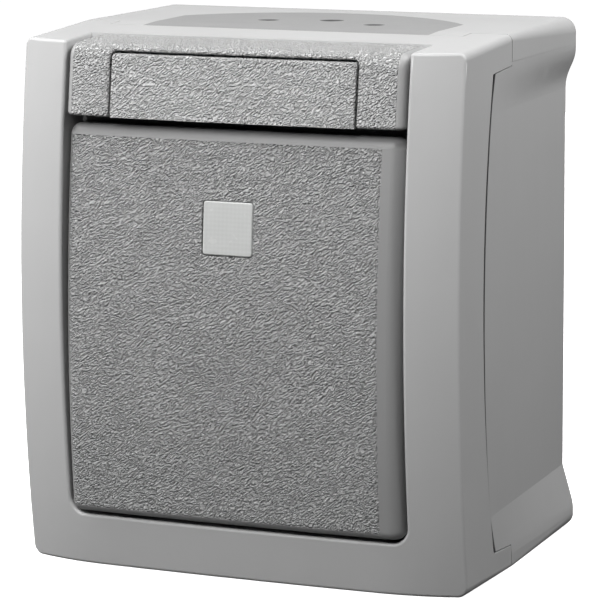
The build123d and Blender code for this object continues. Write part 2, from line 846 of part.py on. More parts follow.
def make_insert_cover():
    """Front half of the insert: contact chamber, hub pocket and bearing ears."""
    cover = rounded(insert_nose_half, insert_nose_half, insert_corner, -insert_front, -insert_step, mech_z)
    cover += rounded(insert_half, insert_half, insert_corner, -insert_step, -insert_split, mech_z)
    ear = rod_x(ear_radius, -pivot_depth, mech_z, ear_inner, insert_nose_half)
    ear += block(
        ear_inner,
        insert_nose_half,
        -pivot_depth,
        -insert_front + 1,
        mech_z - ear_radius,
        mech_z + ear_radius,
    )
    cover += both_sides(ear)
    cover -= block(
        -chamber_half_x,
        chamber_half_x,
        -reach,
        0,
        mech_z - chamber_half_z,
        mech_z + chamber_half_z,
    )
    cover -= block(
        -ear_inner,
        ear_inner,
        -reach,
        -hub_pocket_depth,
        mech_z - hub_pocket_half_z,
        mech_z + hub_pocket_half_z,
    )
    cover -= rod_x(trunnion_radius + trunnion_clear, -pivot_depth, mech_z, -reach, reach)
    pocket_x = lamp_base_half_x + lamp_pocket_clear
    pocket_z = lamp_base_half_z + lamp_pocket_clear
    cover -= block(
        -pocket_x,
        pocket_x,
        -reach,
        -lamp_pocket_depth,
        mech_z + lamp_z - pocket_z,
        mech_z + lamp_z + pocket_z,
    )
    for x, z in insert_screw_places():
        cover -= rod_y(insert_screw_radius + screw_fit, x, z, -reach, 0)
        cover -= rod_y(insert_head_radius + screw_fit, x, z, -reach, -insert_head_seat)
    return cover


def strip(x0, x1, z0, z1, grow=0.0):
    """Flat stretch of a contact strip in the insert's joint plane."""
    return block(
        x0 - grow,
        x1 + grow,
        -insert_split,
        -insert_split + strip_wall + grow,
        mech_z + z0 - grow,
        mech_z + z1 + grow,
    )


def terminal_block(side_x, side_z, grow=0.0):
    """Clamp block of one terminal."""
    x = side_x * block_x
    z = mech_z + side_z * block_z
    half = block_half + grow
    return block(x - half, x + half, -insert_split, -block_depth + grow, z - half, z + half)


def load_metal(side, grow=0.0):
    """Strip and block of the upper or lower load terminal."""
    z = side * contact_z
    return strip(-strip_half, block_x, z - strip_half, z + strip_half, grow) + terminal_block(1, side, grow)


def common_metal(grow=0.0):
    """Strip and block of the common terminal."""
    metal = strip(-block_x, knife_half_x, -strip_half, strip_half, grow)
    metal += strip(-block_x - strip_half, -block_x + strip_half, -strip_half, block_z, grow)
    return metal + terminal_block(-1, 1, grow)


def drill_terminal(metal, side_x, side_z):
    """Wire bore and screw bore of a terminal block."""
    x = side_x * block_x
    middle = -(insert_split + block_depth) / 2
    metal -= rod_y(wire_radius, x, mech_z + side_z * wire_z, -insert_split + strip_wall, 0)
    bore = terminal_screw_radius + terminal_screw_fit
    top = side_z * (block_z + block_half + 1)
    return metal - rod_z(bore, x, middle, mech_z + side_z * terminal_screw_tip, mech_z + top)


def make_load_terminal(side):
    """Load terminal with its fixed contact."""
    metal = load_metal(side)
    z = mech_z + side * contact_z
    metal += rod_y(contact_radius, 0, z, -fixed_contact_depth, -insert_split + contact_seat)
    return drill_terminal(metal, 1, side)


def make_common_terminal():
    """Common terminal with the knife edge that carries the bridge."""
    metal = common_metal()
    metal += rod_x(knife_radius, -knife_depth, mech_z, -knife_half_x, knife_half_x)
    metal += block(
        -knife_half_x,
        knife_half_x,
        -knife_depth,
        -insert_split + contact_seat,
        mech_z - knife_radius,
        mech_z + knife_radius,
    )
    return drill_terminal(metal, -1, 1)


def make_loop_terminal():
    """Spare terminal for looping a conductor through."""
    return drill_terminal(terminal_block(-1, -1), -1, -1)


def make_contact_bridge():
    """Rocking contact bridge with a rivet at each end."""
    bridge = rounded(
        bridge_half_x,
        bridge_half_z,
        1.0,
        -bridge_depth - bridge_wall / 2,
        -bridge_depth + bridge_wall / 2,
        mech_z,
    )
    rear = -bridge_depth + bridge_wall / 2
    for side in (-1, 1):
        z = mech_z + side * contact_z
        bridge += rod_y(contact_radius, 0, z, rear - bridge_wall - rivet_head, rear + contact_height)
    return bridge.rotate(bridge_axis, bridge_tilt)


def make_insert_base():
    """Rear half of the insert, with seats for the terminals and wire entries."""
    base = rounded(insert_half, insert_half, insert_corner, -insert_split, -insert_back, mech_z)
    base -= load_metal(1, strip_clear) + load_metal(-1, strip_clear)
    base -= common_metal(strip_clear) + terminal_block(-1, -1, strip_clear)
    middle = -(insert_split + block_depth) / 2
    for side_x in (-1, 1):
        for side_z in (-1, 1):
            x = side_x * block_x
            base -= rod_y(wire_entry_radius, x, mech_z + side_z * wire_z, -block_depth, 0)
            inner = mech_z + side_z * block_z
            outer = mech_z + side_z * (insert_half + 1)
            base -= rod_z(terminal_hole_radius, x, middle, inner, outer)
    for x, z in insert_screw_places():
        base -= rod_y(insert_screw_radius + screw_fit, x, z, -reach, -insert_screw_end + blind_rest)
    return base


def make_terminal_screws():
    """Four slotted clamp screws."""
    middle = -(insert_split + block_depth) / 2
    screws = []
    for side_x in (-1, 1):
        for side_z in (-1, 1):
            x = side_x * block_x
            seat = block_z + block_half
            tip = mech_z + side_z * (terminal_screw_tip + strip_clear)
            under = mech_z + side_z * (seat + strip_clear)
            top = mech_z + side_z * (seat + strip_clear + terminal_head_height)
            screw = rod_z(terminal_screw_radius, x, middle, tip, under)
            screw += rod_z(terminal_head_radius, x, middle, under, top)
            floor = top - side_z * drive_depth
            screw -= block(
                x - terminal_head_radius,
                x + terminal_head_radius,
                middle - drive_slot / 2,
                middle + drive_slot / 2,
                floor,
                top + side_z,
            )
            screws.append(screw)
    return screws


def make_insert_screws():
    """Two screws that hold the halves of the insert together."""
    screws = []
    for x, z in insert_screw_places():
        screw = slotted_head(insert_head_radius, x, z, insert_head_seat, insert_head_height)
        screws.append(screw + rod_y(insert_screw_radius, x, z, -insert_head_seat, -insert_screw_end))
    return screws


def make_retainer_plate():
    """Sheet steel plate that holds the insert on its two towers."""
    plate = rounded(
        retainer_half_x, retainer_half_z, retainer_corner, -retainer_front, -insert_step, mech_z
    )
    window = insert_nose_half + retainer_clear
    plate -= rounded(window, window, insert_corner, -reach, 0, mech_z)
    for x, z in frame_screw_places:
        plate -= rod_y(screw_tower_radius + retainer_clear, x, z, -reach, 0)
    return plate - both_sides(
        rod_y(retainer_screw_radius + retainer_clear, retainer_screw_x, mech_z, -reach, 0)
    )


def make_retainer_screws():
    """Two screws through the retainer plate."""
    screws = []
    for side in (-1, 1):
        x = side * retainer_screw_x
        screw = slotted_head(retainer_head_radius, x, mech_z, retainer_front, retainer_head_height)
        screws.append(
            screw + rod_y(retainer_screw_radius, x, mech_z, -retainer_front, -retainer_screw_end)
        )
    return screws


def make_insert_seal():
    """Soft ring between the frame's plate and the retainer plate."""
    outer = insert_nose_half + 2.0
    inner = insert_nose_half + joint_gap
    seal = rounded(outer, outer, insert_corner + 1, -web_rear, -retainer_front, mech_z)
    return seal - rounded(inner, inner, insert_corner, -reach, 0, mech_z)


def make_frame_screws():
    """Four screws that clamp the frame to the box."""
    screws = []
    for x, z in frame_screw_places:
        screw = slotted_head(head_radius, x, z, washer_front, head_height)
        screws.append(screw + rod_y(screw_radius, x, z, -washer_front, -screw_end))
    return screws


def make_screw_washers():
    """Soft sealing washers under the frame screws."""
    washers = []
    for x, z in frame_screw_places:
        washer = rod_y(washer_radius, x, z, -washer_front, -web_depth)
        washers.append(washer - rod_y(screw_radius + screw_fit, x, z, -reach, 0))
    return washers


def make_pilot_lamp():
    """Small lamp with a round cap on a flat base."""
    z = mech_z + lamp_z
    lamp = block(
        -lamp_base_half_x,
        lamp_base_half_x,
        -lamp_base_front,
        -lamp_pocket_depth,
        z - lamp_base_half_z,
        z + lamp_base_half_z,
    )
    crown_y = -lamp_front + lamp_radius
    lamp += rod_y(lamp_radius, 0, z, crown_y, -lamp_base_front)
    return lamp + Pos(0, crown_y, z) * Sphere(lamp_radius)


# Every piece under the name of its file
pieces = {
    "rear_box": make_rear_box,
    "cable_membrane": make_cable_membrane,
    "box_gasket": make_box_gasket,
    "front_frame": make_front_frame,
    "top_trim": make_top_trim,
    "label_cover": make_label_cover,
    "rocker_key": make_rocker_key,
    "indicator_lens": make_indicator_lens,
    "rocker_cradle": make_rocker_cradle,
    "contact_plunger": make_contact_plunger,
    "plunger_spring": make_plunger_spring,
    "contact_bridge": make_contact_bridge,
    "common_terminal": make_common_terminal,
    "load_terminal_upper": lambda: make_load_terminal(1),
    "load_terminal_lower": lambda: make_load_terminal(-1),
    "loop_terminal": make_loop_terminal,
    "terminal_screws": make_terminal_screws,
    "insert_base": make_insert_base,
    "insert_cover": make_insert_cover,
    "insert_screws": make_insert_screws,
    "retainer_plate": make_retainer_plate,
    "retainer_screws": make_retainer_screws,
    "insert_seal": make_insert_seal,
    "frame_screws": make_frame_screws,
    "screw_washers": make_screw_washers,
    "pilot_lamp": make_pilot_lamp,
}

os.makedirs("parts", exist_ok=True)
for name, make in pieces.items():
    piece = make()
    if isinstance(piece, list):
        piece = Compound(children=piece)
    export_step(piece, f"parts/{name}.step")
    print(name, round(piece.volume))
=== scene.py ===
"""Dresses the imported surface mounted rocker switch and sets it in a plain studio.

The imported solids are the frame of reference: X runs right, Y into the wall and
Z up, with the origin at the centre of the back face. Sizes on the switch are in
millimetres. Those of the lights and the floor are in metres.
"""

import logging
import math
from dataclasses import dataclass
from enum import Enum
from typing import ClassVar, Mapping, Protocol, Sequence

import bpy
from mathutils import Matrix, Vector

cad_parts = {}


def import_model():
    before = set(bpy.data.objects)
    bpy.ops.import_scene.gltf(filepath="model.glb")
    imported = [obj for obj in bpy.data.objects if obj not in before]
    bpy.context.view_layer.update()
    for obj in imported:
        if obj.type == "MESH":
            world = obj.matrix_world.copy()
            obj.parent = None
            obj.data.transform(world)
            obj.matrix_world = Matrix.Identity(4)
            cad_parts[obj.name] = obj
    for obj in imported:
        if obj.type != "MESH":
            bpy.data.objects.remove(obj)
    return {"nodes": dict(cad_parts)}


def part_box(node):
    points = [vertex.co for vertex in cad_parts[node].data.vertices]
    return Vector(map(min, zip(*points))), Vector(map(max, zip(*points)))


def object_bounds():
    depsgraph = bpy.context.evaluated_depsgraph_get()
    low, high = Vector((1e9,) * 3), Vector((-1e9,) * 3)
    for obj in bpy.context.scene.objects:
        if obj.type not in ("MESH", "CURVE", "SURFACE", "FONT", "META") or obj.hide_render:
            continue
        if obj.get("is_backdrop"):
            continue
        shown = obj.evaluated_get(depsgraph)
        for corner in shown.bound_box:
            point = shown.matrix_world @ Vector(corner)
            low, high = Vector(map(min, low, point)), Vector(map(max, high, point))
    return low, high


log = logging.getLogger("rocker_switch")

Number = float | int
Colour = tuple[float, float, float]
Point = tuple[float, float, float]

MM = 0.001
MIDDLE = 0.5    # of a noise, of a relief's height and of a wave between 0 and 1


# Shader arithmetic
class Signal:
    """A value inside a shader tree. Arithmetic on it adds Math nodes."""

    def __init__(self, sheet: "ShaderSheet", socket: bpy.types.NodeSocket) -> None:
        """Wraps an output socket of the given sheet."""
        self.sheet = sheet
        self.socket = socket

    def __add__(self, other: "Signal | Number") -> "Signal":
        """Sum."""
        return self.sheet.math("ADD", self, other)

    def __radd__(self, other: Number) -> "Signal":
        """Sum with the number on the left."""
        return self.sheet.math("ADD", other, self)

    def __sub__(self, other: "Signal | Number") -> "Signal":
        """Difference."""
        return self.sheet.math("SUBTRACT", self, other)

    def __rsub__(self, other: Number) -> "Signal":
        """Difference with the number on the left."""
        return self.sheet.math("SUBTRACT", other, self)

    def __mul__(self, other: "Signal | Number") -> "Signal":
        """Product."""
        return self.sheet.math("MULTIPLY", self, other)

    def __rmul__(self, other: Number) -> "Signal":
        """Product with the number on the left."""
        return self.sheet.math("MULTIPLY", other, self)

    def __truediv__(self, other: "Signal | Number") -> "Signal":
        """Quotient."""
        return self.sheet.math("DIVIDE", self, other)

    def __pow__(self, other: "Signal | Number") -> "Signal":
        """Power."""
        return self.sheet.math("POWER", self, other)

    def __abs__(self) -> "Signal":
        """The value without its sign."""
        return self.sheet.math("ABSOLUTE", self, 0.0)

    def sine(self) -> "Signal":
        """Sine of the value in radians."""
        return self.sheet.math("SINE", self, 0.0)

    def clamped(self) -> "Signal":
        """The value limited to 0..1."""
        return self.sheet.math("ADD", self, 0.0, clamp=True)

    def ramp(self, low: float, high: float) -> "Signal":
        """Smooth step.

        Args:
            low: value where it starts at 0.
            high: value where it ends at 1.

        Returns:
            The stepped value.
        """
        node = self.sheet.node(
            "ShaderNodeMapRange",
            {"interpolation_type": "SMOOTHSTEP", "clamp": True},
            {"Value": self, "From Min": low, "From Max": high, "To Min": 0.0, "To Max": 1.0},
        )
        return Signal(self.sheet, node.outputs["Result"])


class ShaderSheet:
    """One material's node tree, ending in a Principled shader."""

    mix_inputs = (0, 6, 7)    # numbers of the Mix node's share and its two colours
    mix_output = 2

    def __init__(self, name: str) -> None:
        """Creates the material with an empty tree.

        Args:
            name: name of the material.
        """
        self.material = bpy.data.materials.new(name)
        self.material.use_nodes = True
        self.tree = self.material.node_tree
        self.tree.nodes.clear()
        self.output = self.tree.nodes.new("ShaderNodeOutputMaterial")
        self.shader = self.tree.nodes.new("ShaderNodeBsdfPrincipled")
        self.tree.links.new(self.shader.outputs["BSDF"], self.output.inputs["Surface"])

    def feed(self, socket: bpy.types.NodeSocket, value: object) -> None:
        """Links a signal to a socket, or sets the socket to a constant.

        Args:
            socket: an input socket of this tree.
            value: a signal, a number, a colour or a vector.
        """
        if isinstance(value, Signal):
            self.tree.links.new(value.socket, socket)
        elif isinstance(value, tuple) and len(value) == 3 and socket.type == "RGBA":
            socket.default_value = (*value, 1.0)
        else:
            socket.default_value = value

    def node(
        self,
        kind: str,
        settings: Mapping[str, object] | None = None,
        values: Mapping[str | int, object] | None = None,
    ) -> bpy.types.Node:
        """Adds a node.

        Args:
            kind: the node's type name.
            settings: properties of the node, set before its sockets.
            values: constants or signals by socket name or number.

        Returns:
            The new node.
        """
        node = self.tree.nodes.new(kind)
        for key, value in (settings or {}).items():
            setattr(node, key, value)
        for key, value in (values or {}).items():
            self.feed(node.inputs[key], value)
        return node

    def math(self, operation: str, a: object, b: object, clamp: bool = False) -> Signal:
        """Adds a Math node for two values."""
        settings = {"operation": operation, "use_clamp": clamp}
        return Signal(self, self.node("ShaderNodeMath", settings, {0: a, 1: b}).outputs[0])

    def place(self, size: Sequence[float], turn: Sequence[float] = (0.0, 0.0, 0.0)) -> Signal:
        """Object coordinates, turned and divided by a cell size.

        Args:
            size: cell size along each turned axis, in millimetres.
            turn: rotation in degrees about X, Y and Z.

        Returns:
            The coordinates as a vector.
        """
        coordinates = self.node("ShaderNodeTexCoord")
        values = {
            "Vector": Signal(self, coordinates.outputs["Object"]),
            "Rotation": tuple(math.radians(angle) for angle in turn),
            "Scale": tuple(side * MM for side in size),
        }
        mapping = self.node("ShaderNodeMapping", {"vector_type": "TEXTURE"}, values)
        return Signal(self, mapping.outputs["Vector"])

    def cells(self, pitch: float) -> Signal:
        """Object coordinates in cubic cells of a pitch in millimetres."""
        return self.place((pitch, pitch, pitch))

    def axes(self, pitch: float = 1.0) -> list[Signal]:
        """X, Y and Z of the object coordinates in cells of a pitch in millimetres."""
        parts = self.node("ShaderNodeSeparateXYZ", {}, {"Vector": self.cells(pitch)})
        return [Signal(self, parts.outputs[axis]) for axis in "XYZ"]

    def noise(self, where: Signal, detail: float = 2.0, rough: float = 0.5, bend: float = 0.0) -> Signal:
        """Noise around 0.5 at coordinates in cells.

        Args:
            where: coordinates.
            detail: number of octaves.
            rough: weight of the finer octaves.
            bend: distortion.

        Returns:
            The noise value.
        """
        values = {
            "Vector": where,
            "Scale": 1.0,
            "Detail": detail,
            "Roughness": rough,
            "Distortion": bend,
        }
        node = self.node("ShaderNodeTexNoise", {"noise_dimensions": "3D"}, values)
        return Signal(self, node.outputs["Fac"])

    def blend(self, share: Signal, low: Colour | Signal, high: Colour) -> Signal:
        """Colour between two colours.

        Args:
            share: 0 for the first colour and 1 for the second.
            low: the first colour.
            high: the second colour.

        Returns:
            The blended colour.
        """
        settings = {"data_type": "RGBA", "blend_type": "MIX"}
        values = dict(zip(self.mix_inputs, (share, low, high)))
        return Signal(self, self.node("ShaderNodeMix", settings, values).outputs[self.mix_output])

    def vary(self, share: Signal, colour: Colour, spread: float) -> Signal:
        """A colour that runs from a little darker, at 0, to a little lighter, at 1."""
        return self.blend(share, toned(colour, 1 - spread), toned(colour, 1 + spread))

    def relief(self, height: Signal, depth: float, under: Signal | None = None) -> Signal:
        """Bump from a height signal.

        Args:
            height: height between 0 and 1.
            depth: height of 1, in millimetres.
            under: normal of a coarser relief below this one.

        Returns:
            The bumped normal.
        """
        values: dict[str | int, object] = {"Strength": 1.0, "Distance": depth * MM, "Height": height}
        if under is not None:
            values["Normal"] = under
        return Signal(self, self.node("ShaderNodeBump", {}, values).outputs["Normal"])

    def finish(self, **inputs: object) -> bpy.types.Material:
        """Sets the Principled shader's inputs and returns the material.

        Args:
            **inputs: values by socket name, with underscores for spaces.

        Returns:
            The finished material.
        """
        for key, value in inputs.items():
            self.feed(self.shader.inputs[key.replace("_", " ")], value)
        return self.material


def grey(level: float) -> Colour:
    """Linear colour of an even grey."""
    return (level, level, level)


def toned(colour: Colour, share: float) -> Colour:
    """A colour made darker or lighter by a share."""
    return tuple(part * share for part in colour)


# Places on the mouldings that differ from the rest
class Zone(Protocol):
    """A place on a node whose finish differs from the rest."""

    def mask(self, sheet: ShaderSheet) -> Signal:
        """1 in the place and 0 outside it."""


@dataclass(frozen=True)
class GrainField:
    """Grain over a moulding's front, but for smooth bands along its edges."""

    node: str
    left: float = 0.0       # widths of the smooth bands
    right: float = 0.0
    foot: float = 0.0
    head: float = 0.0
    rounding: float = 0.0   # height of the head's rounding, which gets a painted shadow
    start: float = 0.85     # share of a band where the grain begins to show

    def mask(self, sheet: ShaderSheet) -> Signal:
        """1 on the grain and 0 on the smooth bands.

        Args:
            sheet: the material's sheet.

        Returns:
            The mask.
        """
        low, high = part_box(self.node)
        across, _, up = sheet.axes()
        shares = []
        for place, axis, near_band, far_band in (
            (across, 0, self.left, self.right),
            (up, 2, self.foot, self.head),
        ):
            near = low[axis] / MM
            far = high[axis] / MM
            if near_band:
                shares.append(place.ramp(near + near_band * self.start, near + near_band))
            if far_band:
                shares.append(1 - place.ramp(far - far_band, far - far_band * self.start))
        return math.prod(shares)

    def head_shadow_mask(self, sheet: ShaderSheet) -> Signal:
        """Where the painted shadow goes: 1 on the upper half of the head's rounding and 0 below the
        rounding.

        Args:
            sheet: the material's sheet.

        Returns:
            The mask.
        """
        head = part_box(self.node)[1][2] / MM
        return sheet.axes()[2].ramp(head - self.rounding, head - self.rounding / 2)


@dataclass(frozen=True)
class PaintedSeamShadow:
    """Painted shadow of the frame's bowed edge: a dark line on the sides of the box just behind that edge.
    """

    middle_depth: float = 40.7   # from the back face to the edge at half height
    bow_radius: float = 144.0    # of the edge, seen from the side
    least_x: float = 31.0        # keeps the line on the two side walls
    low: float = -35.2           # lower end
    high: float = 34.2           # upper end
    line: float = 1.3            # how far the painted shadow reaches behind the frame's edge
    soft: float = 0.3            # how far it fades

    def mask(self, sheet: ShaderSheet) -> Signal:
        """1 on the painted shadow line and 0 away from it.

        Args:
            sheet: the material's sheet.

        Returns:
            The mask.
        """
        across, back, up = sheet.axes()
        behind = back + self.middle_depth - up**2.0 / (2 * self.bow_radius)
        line = 1 - behind.ramp(self.line - self.soft, self.line)
        above = up.ramp(self.low - self.soft, self.low)
        below = 1 - up.ramp(self.high, self.high + self.soft)
        return line * above * below * abs(across).ramp(self.least_x - self.soft, self.least_x)


@dataclass(frozen=True)
class PierceWellShade:
    """Painted shade in the membrane's thin pierce points, which are hollows seen from the top: X, Y and
    radius of each.
    """

    points: tuple[Point, ...] = ((-7.6, -19.8, 1.7), (1.6, -17.4, 1.9), (10.2, -21.8, 1.7))
    core: float = 0.8    # share of the radius that is in full painted shade

    def mask(self, sheet: ShaderSheet) -> Signal:
        """1 where the painted shade is full, in the middle of each pierce point, and 0 outside them.

        Args:
            sheet: the material's sheet.

        Returns:
            The mask.
        """
        across, back, _ = sheet.axes()
        outside = []
        for x, y, radius in self.points:
            reach = (across - x) ** 2.0 + (back - y) ** 2.0
            outside.append(reach.ramp((radius * self.core) ** 2, radius**2))
        return 1 - math.prod(outside)


# Finishes
@dataclass(frozen=True)
class GrainedPlastic:
    """Moulded plastic with the coarse worm-like grain of the key and trim, with painted shade on its
    smooth edge bands and a painted shadow on the key's head.
    """

    name: str
    level: float                    # brightness of the plastic
    valley: float = 0.9             # brightness between the ridges, as a share of the level
    crest: float = 1.12             # brightness on the ridges
    length: float = 0.42            # of the grain's cell along a ridge
    width: float = 0.2              # of the cell across a ridge
    reach: float = 1.6              # of the cell into the moulding, in widths
    slant: float = 38.0             # of the ridges, in degrees
    ridge_low: float = 0.3          # noise at the foot of a ridge
    ridge_high: float = 0.7         # noise on its crest
    depth: float = 0.9              # bump height, far above a real ridge's, so that it shows
    dust_pitch: float = 0.2
    dust_depth: float = 0.006
    cloud_pitch: float = 9.0
    ridge_weight: float = 0.82
    dust_weight: float = 0.12
    cloud_weight: float = 0.12
    roughness: float = 0.5
    rough_dust: float = 0.2         # spread of the roughness over the dust
    rough_ridge: float = 0.06       # how much smoother the crests are
    band_painted_shade: float = 0.6         # brightness of the smooth bands: painted shade on the rounded edges
    head_painted_shadow: float = 0.3         # brightness of the painted shadow on the head's rounding

    def material(self, field: GrainField | None = None) -> bpy.types.Material:
        """Builds the material.

        Args:
            field: where the grain runs, or nothing for all over.

        Returns:
            The material.
        """
        sheet = ShaderSheet(self.name)
        cell = (self.length, self.width * self.reach, self.width)
        worms = sheet.noise(sheet.place(cell, (0.0, -self.slant, 0.0)), detail=0.4, rough=0.4, bend=0.5)
        dust = sheet.noise(sheet.cells(self.dust_pitch))
        cloud = sheet.noise(sheet.cells(self.cloud_pitch))
        ridge = worms.ramp(self.ridge_low, self.ridge_high)
        smooth = 1 - field.mask(sheet) if field else None
        if field:
            ridge = ridge * (1 - smooth) + smooth * MIDDLE
        tone = ridge * self.ridge_weight + dust * self.dust_weight + cloud * self.cloud_weight
        colour = sheet.blend(tone.clamped(), grey(self.level * self.valley), grey(self.level * self.crest))
        # Painted shade: the smooth bands along the edges are darker.
        if field:
            colour = sheet.blend(smooth, colour, grey(self.level * self.band_painted_shade))
        # Painted shadow of the trim on the key's head rounding.
        if field and field.rounding:
            colour = sheet.blend(field.head_shadow_mask(sheet), colour, grey(self.level * self.head_painted_shadow))
        return sheet.finish(
            Base_Color=colour,
            Roughness=self.roughness + (dust - MIDDLE) * self.rough_dust - ridge * self.rough_ridge,
            Specular_IOR_Level=0.45,
            Normal=sheet.relief(dust, self.dust_depth, sheet.relief(ridge, self.depth)),
        )


@dataclass(frozen=True)
class SatinPlastic:
    """Moulded plastic with a fine eroded surface."""

    name: str
    colour: Colour = grey(0.42)
    spread: float = 0.05
    roughness: float = 0.46
    pitch: float = 0.16
    depth: float = 0.004
    cloud_pitch: float = 14.0
    flow_cell: Point = (2.6, 2.6, 34.0)   # streaks along the melt's flow
    flow_turn: Point = (4.0, 3.0, 0.0)
    cloud_weight: float = 0.5
    flow_weight: float = 0.25
    erosion_weight: float = 0.25
    rough_erosion: float = 0.14
    rough_cloud: float = 0.1
    painted_shade: float = 0.12              # brightness of the painted shade in the zone

    def material(self, zone: Zone | None = None) -> bpy.types.Material:
        """Builds the material.

        Args:
            zone: where painted shade goes on it, if it has one.

        Returns:
            The material.
        """
        sheet = ShaderSheet(self.name)
        erosion = sheet.noise(sheet.cells(self.pitch), rough=0.55)
        cloud = sheet.noise(sheet.cells(self.cloud_pitch), detail=3.0, rough=0.55)
        flow = sheet.noise(sheet.place(self.flow_cell, self.flow_turn))
        tone = cloud * self.cloud_weight + flow * self.flow_weight + erosion * self.erosion_weight
        colour = sheet.vary(tone.clamped(), self.colour, self.spread)
        if zone:
            # Painted shade: the zone's colour is darkened, as for the shadow behind the frame's edge.
            colour = sheet.blend(zone.mask(sheet), colour, toned(self.colour, self.painted_shade))
        rough = (erosion - MIDDLE) * self.rough_erosion
        rough = self.roughness + rough + (cloud - MIDDLE) * self.rough_cloud
        return sheet.finish(
            Base_Color=colour,
            Roughness=rough.clamped(),
            Specular_IOR_Level=0.45,
            Normal=sheet.relief(erosion, self.depth),
        )


@dataclass(frozen=True)
class SoftRubber:
    """Matt elastomer with a dusty skin."""

    name: str
    colour: Colour
    spread: float = 0.08
    roughness: float = 0.62
    rough_skin: float = 0.2
    pitch: float = 0.3
    depth: float = 0.012
    cloud_pitch: float = 6.0
    skin_weight: float = 0.4
    cloud_weight: float = 0.6
    painted_shade: float = 0.2      # brightness of the painted shade in the zone

    def material(self, zone: Zone | None = None) -> bpy.types.Material:
        """Builds the material.

        Args:
            zone: places of painted shade on it, if it has any.

        Returns:
            The material.
        """
        sheet = ShaderSheet(self.name)
        skin = sheet.noise(sheet.cells(self.pitch), detail=3.0, rough=0.6)
        cloud = sheet.noise(sheet.cells(self.cloud_pitch), detail=3.0)
        tone = (skin * self.skin_weight + cloud * self.cloud_weight).clamped()
        colour = sheet.vary(tone, self.colour, self.spread)
        if zone:
            # Painted shade: the zone's colour is darkened, as in the membrane's pierce points.
            colour = sheet.blend(zone.mask(sheet), colour, toned(self.colour, self.painted_shade))
        return sheet.finish(
            Base_Color=colour,
            Roughness=(self.roughness + (skin - MIDDLE) * self.rough_skin).clamped(),
            Specular_IOR_Level=0.3,
            Normal=sheet.relief(skin, self.depth),
        )


@dataclass(frozen=True)
class DiffuserPlastic:
    """Milky diffuser with a faint grid of prisms under its skin."""

    name: str
    colour: Colour = (0.50, 0.507, 0.50)
    spread: float = 0.05
    pitch: float = 0.62
    depth: float = 0.01
    grid_weight: float = 0.5
    cloud_pitch: float = 2.0
    cloud_weight: float = 0.5
    roughness: float = 0.26
    rough_cloud: float = 0.1
    milk_share: float = 0.25     # share of the light that goes through the milky body
    milk_reach: float = 1.0      # how far it goes

    def material(self) -> bpy.types.Material:
        """Builds the material.

        Returns:
            The material.
        """
        sheet = ShaderSheet(self.name)
        across, _, up = sheet.axes(self.pitch)
        waves = (across * math.tau).sine() + (up * math.tau).sine()
        grid = (waves / 4 + MIDDLE).clamped()
        cloud = sheet.noise(sheet.cells(self.cloud_pitch))
        tone = (grid * self.grid_weight + cloud * self.cloud_weight).clamped()
        return sheet.finish(
            Base_Color=sheet.vary(tone, self.colour, self.spread),
            Roughness=(self.roughness + (cloud - MIDDLE) * self.rough_cloud).clamped(),
            Specular_IOR_Level=0.5,
            Subsurface_Weight=self.milk_share,
            Subsurface_Radius=toned((MM, MM, MM), self.milk_reach),
            Normal=sheet.relief(grid, self.depth),
        )


@dataclass(frozen=True)
class WorkedMetal:
    """Metal with fine drawing lines and a little tarnish."""

    name: str
    colour: Colour = (0.56, 0.56, 0.55)
    tarnish: Colour = (0.34, 0.33, 0.31)
    roughness: float = 0.3
    rough_lines: float = 0.15
    rough_stain: float = 0.25
    line_cell: Point = (0.08, 0.08, 3.0)   # drawing lines run along its longest side
    line_depth: float = 0.006
    cloud_pitch: float = 1.8
    stain_low: float = 0.5                 # cloud where the tarnish begins
    stain_high: float = 0.78               # cloud where it is full

    def material(self) -> bpy.types.Material:
        """Builds the material.

        Returns:
            The material.
        """
        sheet = ShaderSheet(self.name)
        drawn = sheet.noise(sheet.place(self.line_cell), rough=0.6)
        cloud = sheet.noise(sheet.cells(self.cloud_pitch), detail=4.0, rough=0.6)
        stain = cloud.ramp(self.stain_low, self.stain_high)
        rough = self.roughness + drawn * self.rough_lines + stain * self.rough_stain
        return sheet.finish(
            Base_Color=sheet.blend(stain, self.colour, self.tarnish),
            Metallic=1.0,
            Roughness=rough.clamped(),
            Normal=sheet.relief(drawn, self.line_depth),
        )


@dataclass(frozen=True)
class LampGlass:
    """Clear cap of the pilot lamp, a little hazed."""

    name: str
    dull: Colour = (0.86, 0.82, 0.78)
    clear: Colour = (0.96, 0.94, 0.9)
    haze_pitch: float = 0.8
    haze_depth: float = 0.01
    roughness: float = 0.05
    rough_haze: float = 0.12

    def material(self) -> bpy.types.Material:
        """Builds the material.

        Returns:
            The material.
        """
        sheet = ShaderSheet(self.name)
        haze = sheet.noise(sheet.cells(self.haze_pitch), detail=3.0)
        return sheet.finish(
            Base_Color=sheet.blend(haze, self.dull, self.clear),
            Roughness=(self.roughness + haze * self.rough_haze).clamped(),
            Transmission_Weight=0.85,
            IOR=1.5,
            Normal=sheet.relief(haze, self.haze_depth),
        )


@dataclass(frozen=True)
class PaperSweep:
    """Seamless paper of the studio, which may glow to a plain white."""

    name: str
    level: float = 0.9
    glow: float = 0.0
    fibre_pitch: float = 1.4
    fibre_depth: float = 0.01
    fibre_shade: float = 0.99    # brightness between the fibres, as a share of the level

    def material(self) -> bpy.types.Material:
        """Builds the material.

        Returns:
            The material.
        """
        sheet = ShaderSheet(self.name)
        fibre = sheet.noise(sheet.cells(self.fibre_pitch), detail=3.0)
        return sheet.finish(
            Base_Color=sheet.blend(fibre, grey(self.level * self.fibre_shade), grey(self.level)),
            Emission_Color=grey(1.0),
            Emission_Strength=self.glow,
            Roughness=0.9,
            Specular_IOR_Level=0.1,
            Normal=sheet.relief(fibre, self.fibre_depth),
        )


